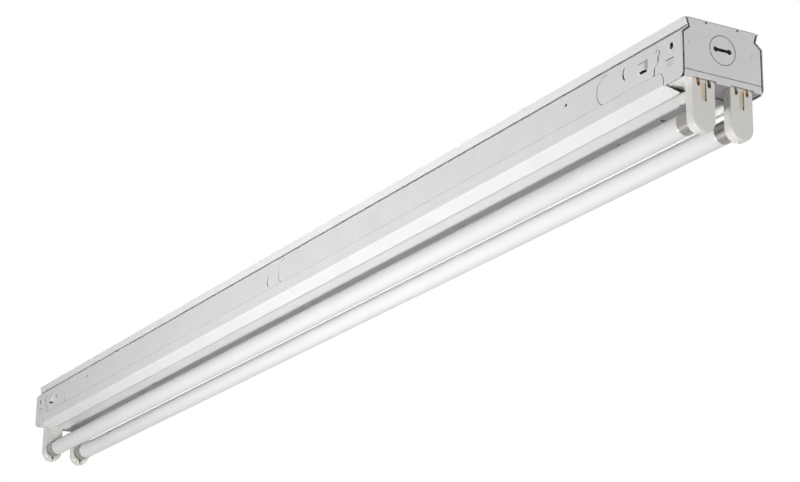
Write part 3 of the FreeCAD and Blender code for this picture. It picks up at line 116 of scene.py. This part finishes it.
ENAMEL = mottled("enamel", (0.790, 0.790, 0.780), (0.830, 0.830, 0.820), (0.30, 0.40),
                 scale=35, bump=0.006, grain=1400, specular=0.25)
PLATE_ENAMEL = mottled("plate_enamel", (0.785, 0.780, 0.770), (0.820, 0.815, 0.805),
                       (0.32, 0.42), scale=45, bump=0.006, grain=1500, specular=0.25)
# Dark grey for the floors of scored lines and the line along the top of each end face: painted
# shade.
GROOVE_SHADE = mottled("groove_shadow", (0.13, 0.13, 0.13), (0.30, 0.30, 0.29), (0.7, 0.8),
                 scale=300, bump=0.01)
# A darker grey for the patch below each lance: painted shade of the pressed tongue.
PRESSED_SHADE = mottled("painted_pressed_shade", (0.66, 0.66, 0.65), (0.72, 0.72, 0.71), (0.35, 0.45),
                  scale=80, bump=0.006, grain=1400)
SOCKET = mottled("socket_plastic", (0.76, 0.745, 0.705), (0.80, 0.785, 0.745),
                 (0.28, 0.36), scale=120, bump=0.004, grain=2500)
ROTOR = mottled("rotor_plastic", (0.70, 0.69, 0.65), (0.75, 0.74, 0.70), (0.3, 0.4),
                scale=150, bump=0.004, grain=2500)
BRONZE = mottled("bronze", (0.42, 0.27, 0.12), (0.62, 0.42, 0.2), (0.25, 0.4),
                 scale=300, bump=0.01, grain=2000, metallic=1.0)
SPRING = mottled("spring_strip", (0.58, 0.49, 0.37), (0.72, 0.62, 0.48), (0.4, 0.55),
                 scale=250, bump=0.01, grain=2000)
LAMP_WHITE = mottled("lamp_glass", (0.77, 0.78, 0.77), (0.80, 0.81, 0.80), (0.10, 0.16),
                     scale=25, bump=0.002, grain=3000, specular=0.3)
CAP_METAL = mottled("lamp_cap", (0.24, 0.225, 0.21), (0.38, 0.36, 0.34), (0.24, 0.36),
                    scale=300, bump=0.006, grain=3000, metallic=1.0, stretch=(1, 8, 8))
PIN_METAL = mottled("lamp_pin", (0.60, 0.47, 0.22), (0.76, 0.62, 0.33), (0.2, 0.3),
                    scale=500, bump=0.004, metallic=1.0)
BALLAST = mottled("ballast_enamel", (0.66, 0.66, 0.65), (0.72, 0.72, 0.71), (0.35, 0.5),
                  scale=40, bump=0.01, grain=1000)
TERMINAL = mottled("terminal_plastic", (0.62, 0.62, 0.59), (0.7, 0.7, 0.67), (0.4, 0.5),
                   scale=200, bump=0.01)
ZINC = mottled("zinc", (0.50, 0.51, 0.53), (0.66, 0.67, 0.69), (0.25, 0.45),
               scale=600, bump=0.01, metallic=1.0)
GREEN_ZINC = mottled("green_zinc", (0.05, 0.22, 0.09), (0.08, 0.32, 0.14), (0.25, 0.45),
                     scale=600, bump=0.01, metallic=0.6)
NUT_ORANGE = mottled("wire_nut_orange", (0.68, 0.22, 0.02), (0.80, 0.30, 0.04),
                     (0.35, 0.5), scale=200, bump=0.02)
NUT_GREEN = mottled("wire_nut_green", (0.03, 0.22, 0.07), (0.05, 0.32, 0.11),
                    (0.35, 0.5), scale=200, bump=0.02)


def lead_colour(name, colour):
    shade = tuple(0.8 * part for part in colour)
    return mottled(name, shade, colour, (0.35, 0.5), scale=300, bump=0.01, grain=1500)


BLACK_LEAD = lead_colour("lead_black", (0.02, 0.018, 0.016))
COPPER_LEAD = lead_colour("lead_copper", (0.75, 0.26, 0.06))
OLIVE_LEAD = lead_colour("lead_olive", (0.34, 0.28, 0.07))
ORANGE_LEAD = lead_colour("lead_orange", (0.85, 0.40, 0.04))
WHITE_LEAD = lead_colour("lead_white", (0.72, 0.72, 0.7))
GREEN_LEAD = lead_colour("lead_green", (0.03, 0.22, 0.06))


def paint(node, material):
    target = NODES[node].data
    target.materials.clear()
    target.materials.append(material)


def paint_wires(node, outer, inner):
    """Two leads in one node: the one nearer the wall gets the outer colour."""
    mesh = NODES[node].data
    mesh.materials.clear()
    mesh.materials.append(outer)
    mesh.materials.append(inner)
    low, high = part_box(node)
    end_x = max(low[0], high[0], key=abs)
    split = (low[1] + high[1]) / 2
    way = 1 if split > 0 else -1
    islands = bmesh.new()
    islands.from_mesh(mesh)
    islands.faces.ensure_lookup_table()
    seen = set()
    for start in islands.faces:
        if start.index in seen:
            continue
        group, queue = [], [start]
        seen.add(start.index)
        while queue:
            face = queue.pop()
            group.append(face)
            for edge in face.edges:
                for other in edge.link_faces:
                    if other.index not in seen:
                        seen.add(other.index)
                        queue.append(other)
        reach = [v.co.y for f in group for v in f.verts if abs(v.co.x - end_x) < WIRE_TIP]
        is_inner = way * sum(reach) / max(1, len(reach)) < way * split if reach else False
        for face in group:
            face.material_index = 1 if is_inner else 0
    indices = [face.material_index for face in islands.faces]
    islands.free()
    mesh.polygons.foreach_set("material_index", indices)


for name in ("channel", "channel_cover"):
    paint(name, ENAMEL)
for end, sign in ENDS:
    paint(f"end_plate_{end}", PLATE_ENAMEL)
    paint(f"ballast_terminals_{end}", TERMINAL)
    for side in SIDES:
        tag = f"{side}_{end}"
        paint(f"lampholder_{tag}", SOCKET)
        paint(f"holder_back_{tag}", SOCKET)
        paint(f"rotor_{tag}", ROTOR)
        paint(f"contacts_{tag}", BRONZE)
        paint(f"detent_spring_{tag}", SPRING)
        paint(f"lamp_cap_{tag}", CAP_METAL)
        paint(f"lamp_pins_{tag}", PIN_METAL)
    paint_wires(f"lamp_leads_front_{end}", COPPER_LEAD, BLACK_LEAD)
    paint_wires(f"lamp_leads_rear_{end}", ORANGE_LEAD, OLIVE_LEAD)
for side in SIDES:
    paint(f"lamp_tube_{side}", LAMP_WHITE)
paint("ballast_case", BALLAST)
paint("ballast_base", BALLAST)
paint("ballast_screws", ZINC)
paint("ground_screw", GREEN_ZINC)
paint("ground_terminal", BRONZE)
paint("supply_line", BLACK_LEAD)
paint("supply_neutral", WHITE_LEAD)
paint("ground_lead", GREEN_LEAD)
paint("wire_nut_line", NUT_ORANGE)
paint("wire_nut_neutral", NUT_ORANGE)
paint("wire_nut_ground", NUT_GREEN)

for node in NODES.values():
    bpy.context.view_layer.objects.active = node
    node.data.shade_smooth()
    smooth = node.modifiers.new("edges", "EDGE_SPLIT")
    smooth.split_angle = SMOOTH_ANGLE


# --- painted shade in scored lines and pressed panels, cover lips, painted shade lines at the tops, window springs ---

FACING, SAME_LEVEL = 0.9, 0.03 * MM

def paint_score_shade(node):
    """The floors of scored lines get their own dark material, a painted shade for the shadow in
    them.
    """
    mesh = NODES[node].data
    mesh.materials.append(GROOVE_SHADE)
    floors = (HALF_LENGTH - SCORE_DEPTH, WALL_HALF - SCORE_DEPTH, SCORE_DEPTH)
    for face in mesh.polygons:
        for axis in range(3):
            level = abs(face.center[axis])
            if abs(face.normal[axis]) > FACING and abs(level - floors[axis]) < SAME_LEVEL:
                face.material_index = len(mesh.materials) - 1


def thin_sheet(name, edge_a, edge_b, material, thickness, sag=(0, 0, 0), steps=8):
    """A thin sheet between two edges, bowed by sag in the middle of its length."""
    mesh = bmesh.new()
    rows = []
    for i in range(steps + 1):
        along = i / steps
        bow = Vector(sag) * 4 * along * (1 - along)
        ends = [Vector(edge[0]).lerp(Vector(edge[1]), along) for edge in (edge_a, edge_b)]
        rows.append([mesh.verts.new(ends[0].lerp(ends[1], j / 3) + bow) for j in range(4)])
    for low, high in zip(rows, rows[1:]):
        for j in range(3):
            mesh.faces.new((low[j], low[j + 1], high[j + 1], high[j]))
    data = bpy.data.meshes.new(name)
    mesh.to_mesh(data)
    mesh.free()
    data.materials.append(material)
    made = bpy.data.objects.new(name, data)
    bpy.context.scene.collection.objects.link(made)
    solid = made.modifiers.new("thickness", "SOLIDIFY")
    solid.thickness = thickness
    solid.offset = 0
    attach(made, "fixture")


# Painted shade on the floors of the scored lines.
for name in ("channel", "end_plate_near", "end_plate_far"):
    paint_score_shade(name)

RIDGE_HALF = 23.2 * MM
BEVEL_TOP, BEVEL_LOW = -44.3 * MM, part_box("channel_cover")[0][2]
COVER_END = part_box("channel_cover")[1][0]
LIP_AT_CORNER, LIP_AT_RIDGE = 1.2 * MM, 4.6 * MM
LIP_CORNER_HALF, LIP_LAP, LIP_SHEET = WALL_HALF * 0.99, 0.3 * MM, 0.5 * MM
LANCE_INSET, LANCE_HALF = 14.0 * MM, 4.2 * MM
PANEL_TOP, PANEL_LOW = -28.9 * MM, -33.0 * MM
PANEL_SLANT, PANEL_SHEET = 0.8 * MM, 0.03 * MM
TOP_LINE_HALF, TOP_LINE_START, TOP_LINE_DROP = 28.6 * MM, 0.1 * MM, 0.45 * MM
TOP_LINE_SHEET = 0.02 * MM
LEAF_START, LEAF_FOOT, LEAF_HEAD = 0.25 * MM, 22.0 * MM, 3.0 * MM
LEAF_SHEET, LEAF_BOW = 0.15 * MM, 0.3 * MM

for end, sign in ENDS:
    middle = sign * (HALF_LENGTH - LANCE_INSET)
    lip_start = sign * (COVER_END - LIP_LAP)
    for way, side in ((-1, "front"), (1, "rear")):
        y = way * (WALL_HALF + PANEL_SHEET)
        # Painted shade: a darker sheet on the wall below the lance, for the pressed tongue's
        # shading.
        thin_sheet(f"pressed_panel_shade_{end}_{side}",
                   ((middle - LANCE_HALF, y, PANEL_TOP), (middle + LANCE_HALF, y, PANEL_TOP)),
                   ((middle - LANCE_HALF, y, PANEL_LOW),
                    (middle + LANCE_HALF - PANEL_SLANT, y, PANEL_LOW)),
                   PRESSED_SHADE, PANEL_SHEET)
        corner = (way * LIP_CORNER_HALF, BEVEL_TOP + LIP_LAP)
        ridge = (way * RIDGE_HALF, BEVEL_LOW + LIP_LAP)
        thin_sheet(f"cover_lip_{end}_{side}",
                   ((lip_start, *corner), (lip_start, *ridge)),
                   ((sign * (COVER_END + LIP_AT_CORNER), *corner),
                    (sign * (COVER_END + LIP_AT_RIDGE), *ridge)),
                   ENAMEL, LIP_SHEET)
    # Painted shade: a thin dark sheet across the top of each end face, for the shadowed gap
    # there.
    face = sign * (HALF_LENGTH + TOP_LINE_SHEET)
    thin_sheet(f"top_gap_shade_{end}",
               ((face, -TOP_LINE_HALF, -TOP_LINE_START), (face, TOP_LINE_HALF, -TOP_LINE_START)),
               ((face, -TOP_LINE_HALF, -TOP_LINE_DROP), (face, TOP_LINE_HALF, -TOP_LINE_DROP)),
               GROOVE_SHADE, TOP_LINE_SHEET, steps=40)
    for side in SIDES:
        low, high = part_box(f"holder_back_{side}_{end}")
        spring_low, spring_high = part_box(f"detent_spring_{side}_{end}")
        inner = (low[0] if sign > 0 else high[0]) - sign * LEAF_START
        y_low, y_high = spring_low[1], spring_high[1]
        z_low, z_high = low[2] + LEAF_FOOT, high[2] - LEAF_HEAD
        thin_sheet(f"spring_leaf_{side}_{end}",
                   ((inner, y_low, z_low), (inner, y_low, z_high)),
                   ((inner, y_high, z_low), (inner, y_high, z_high)),
                   SPRING, LEAF_SHEET, sag=(-sign * LEAF_BOW, 0, 0))


# --- lamps ----------------------------------------------------------------------------

GLASS_ANGLE = math.radians(40)
NECK_REACH, NECK_STEP = 6 * MM, 0.6 * MM
SHOULDER_START, SHOULDER_RISE, SHOULDER_STEP = 0.1 * MM, 1.0 * MM, 0.1 * MM
SHOULDER_END = 2.4 * MM

def turned(name, profile, centre, material, body, steps=72):
    """A solid of revolution about X from (x, radius) pairs."""
    mesh = bmesh.new()
    rings = []
    for x, radius in profile:
        ring = []
        for i in range(steps):
            angle = 2 * math.pi * i / steps
            ring.append(mesh.verts.new(
                (centre[0] + x, centre[1] + radius * math.cos(angle),
                 centre[2] + radius * math.sin(angle))))
        rings.append(ring)
    for a, b in zip(rings, rings[1:]):
        for i in range(steps):
            j = (i + 1) % steps
            mesh.faces.new((a[i], a[j], b[j], b[i]))
    mesh.faces.new(list(reversed(rings[0])))
    mesh.faces.new(rings[-1])
    bmesh.ops.recalc_face_normals(mesh, faces=mesh.faces)
    data = bpy.data.meshes.new(name)
    mesh.to_mesh(data)
    mesh.free()
    data.materials.append(material)
    data.shade_smooth()
    made = bpy.data.objects.new(name, data)
    bpy.context.scene.collection.objects.link(made)
    split = made.modifiers.new("edges", "EDGE_SPLIT")
    split.split_angle = GLASS_ANGLE
    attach(made, body)
    return made


def lamp_axis(side):
    low, high = (Vector(corner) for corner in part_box(f"lamp_tube_{side}"))
    return (low + high) / 2, (high.z - low.z) / 2


for side in SIDES:
    centre, radius = lamp_axis(side)
    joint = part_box(f"lamp_cap_{side}_near")[0][0]
    neck = radius - NECK_STEP
    glass = [(-joint - NECK_REACH, neck), (-joint - SHOULDER_START, neck),
             (-joint + SHOULDER_RISE, radius - SHOULDER_STEP), (-joint + SHOULDER_END, radius)]
    profile = glass + [(-x, r) for x, r in reversed(glass)]
    tube = turned(f"glass_{side}", profile, centre, LAMP_WHITE, f"lamp_{side}")
    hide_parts(f"lamp_tube_{side}")


# --- room, light and camera -------------------------------------------------------------

FLOOR_Z, FLOOR_SIZE = -7.0, 60
WORLD_LIGHT = 0.02
KEY_POWER = 15.4
KEY_NEAR_POWER = 5.0
SIDE_POWER = 0.6
BACK_POWER = 30.0
ABOVE_POWER = 2.4
END_POWER = 41.4
PHOTO_WIDTH = 800
FOCAL_PIXELS = 2360.0
SENSOR, FAR_CLIP = 36.0, 100
CAMERA_PLACE = Vector((1.76342, -0.92283, -0.64711))
CAMERA_RIGHT = Vector((0.498389, 0.866883, 0.011033))
CAMERA_UP = Vector((0.266673, -0.165400, 0.949489))


def seen_directly(nodes, links):
    """One where the camera, a reflection or a clear surface shows the background."""
    path = nodes.new("ShaderNodeLightPath")
    total = path.outputs["Is Camera Ray"]
    for ray in ("Is Glossy Ray", "Is Transmission Ray"):
        most = nodes.new("ShaderNodeMath")
        most.operation = "MAXIMUM"
        links.new(total, most.inputs[0])
        links.new(path.outputs[ray], most.inputs[1])
        total = most.outputs["Value"]
    return total


def make_room():
    bpy.ops.mesh.primitive_plane_add(size=FLOOR_SIZE, location=(0, 0, FLOOR_Z))
    floor = bpy.context.object
    floor.name = "floor"
    material, nodes, links, shader = new_material("floor")
    shader.inputs["Base Color"].default_value = (0.8, 0.8, 0.8, 1)
    shader.inputs["Roughness"].default_value = 0.9
    white = nodes.new("ShaderNodeEmission")
    white.inputs["Color"].default_value = (1, 1, 1, 1)
    mix = nodes.new("ShaderNodeMixShader")
    links.new(seen_directly(nodes, links), mix.inputs["Fac"])
    links.new(shader.outputs["BSDF"], mix.inputs[1])
    links.new(white.outputs["Emission"], mix.inputs[2])
    links.new(mix.outputs["Shader"], nodes["Material Output"].inputs["Surface"])
    floor.data.materials.append(material)
    world = bpy.data.worlds.new("room")
    bpy.context.scene.world = world
    world.use_nodes = True
    nodes, links = world.node_tree.nodes, world.node_tree.links
    light = nodes["Background"]
    light.inputs["Color"].default_value = (1, 1, 1, 1)
    light.inputs["Strength"].default_value = WORLD_LIGHT
    white = nodes.new("ShaderNodeBackground")
    white.inputs["Color"].default_value = (1, 1, 1, 1)
    mix = nodes.new("ShaderNodeMixShader")
    links.new(seen_directly(nodes, links), mix.inputs["Fac"])
    links.new(light.outputs["Background"], mix.inputs[1])
    links.new(white.outputs["Background"], mix.inputs[2])
    links.new(mix.outputs["Shader"], nodes["World Output"].inputs["Surface"])


def area_light(name, place, target, size, power):
    data = bpy.data.lights.new(name, "AREA")
    data.shape = "RECTANGLE"
    data.size, data.size_y = size
    data.energy = power
    light = bpy.data.objects.new(name, data)
    bpy.context.scene.collection.objects.link(light)
    light.location = place
    light.rotation_euler = (Vector(target) - Vector(place)).to_track_quat("-Z", "Y").to_euler()


def make_camera():
    data = bpy.data.cameras.new("camera")
    data.sensor_width = SENSOR
    data.lens = FOCAL_PIXELS * SENSOR / PHOTO_WIDTH
    data.clip_end = FAR_CLIP
    camera = bpy.data.objects.new("camera", data)
    bpy.context.scene.collection.objects.link(camera)
    back = CAMERA_RIGHT.cross(CAMERA_UP)
    turn = Matrix((CAMERA_RIGHT, CAMERA_UP, back)).transposed().to_4x4()
    camera.matrix_world = Matrix.Translation(CAMERA_PLACE) @ turn
    bpy.context.scene.camera = camera


make_room()
area_light("key", (0.08, -0.90, -0.92), (0.08, 0.0, -0.05), (0.5, 0.10), KEY_POWER)
area_light("key_near", (1.0, -1.30, -1.35), (0.5, 0.0, -0.05), (0.6, 0.16), KEY_NEAR_POWER)
area_light("side", (0.1, -1.8, 0.1), (0.1, 0.0, 0.0), (0.8, 0.6), SIDE_POWER)
area_light("above", (0.15, -1.0, 1.1), (0.15, 0.0, 0.0), (0.9, 0.4), ABOVE_POWER)
area_light("back", (0.0, 1.5, 1.4), (0.0, 0.0, 0.0), (1.6, 0.6), BACK_POWER)
area_light("end", (3.0, 0.4, -0.4), (0.4, 0.0, 0.0), (1.6, 1.6), END_POWER)
make_camera()
bpy.context.scene.view_settings.view_transform = "Standard"
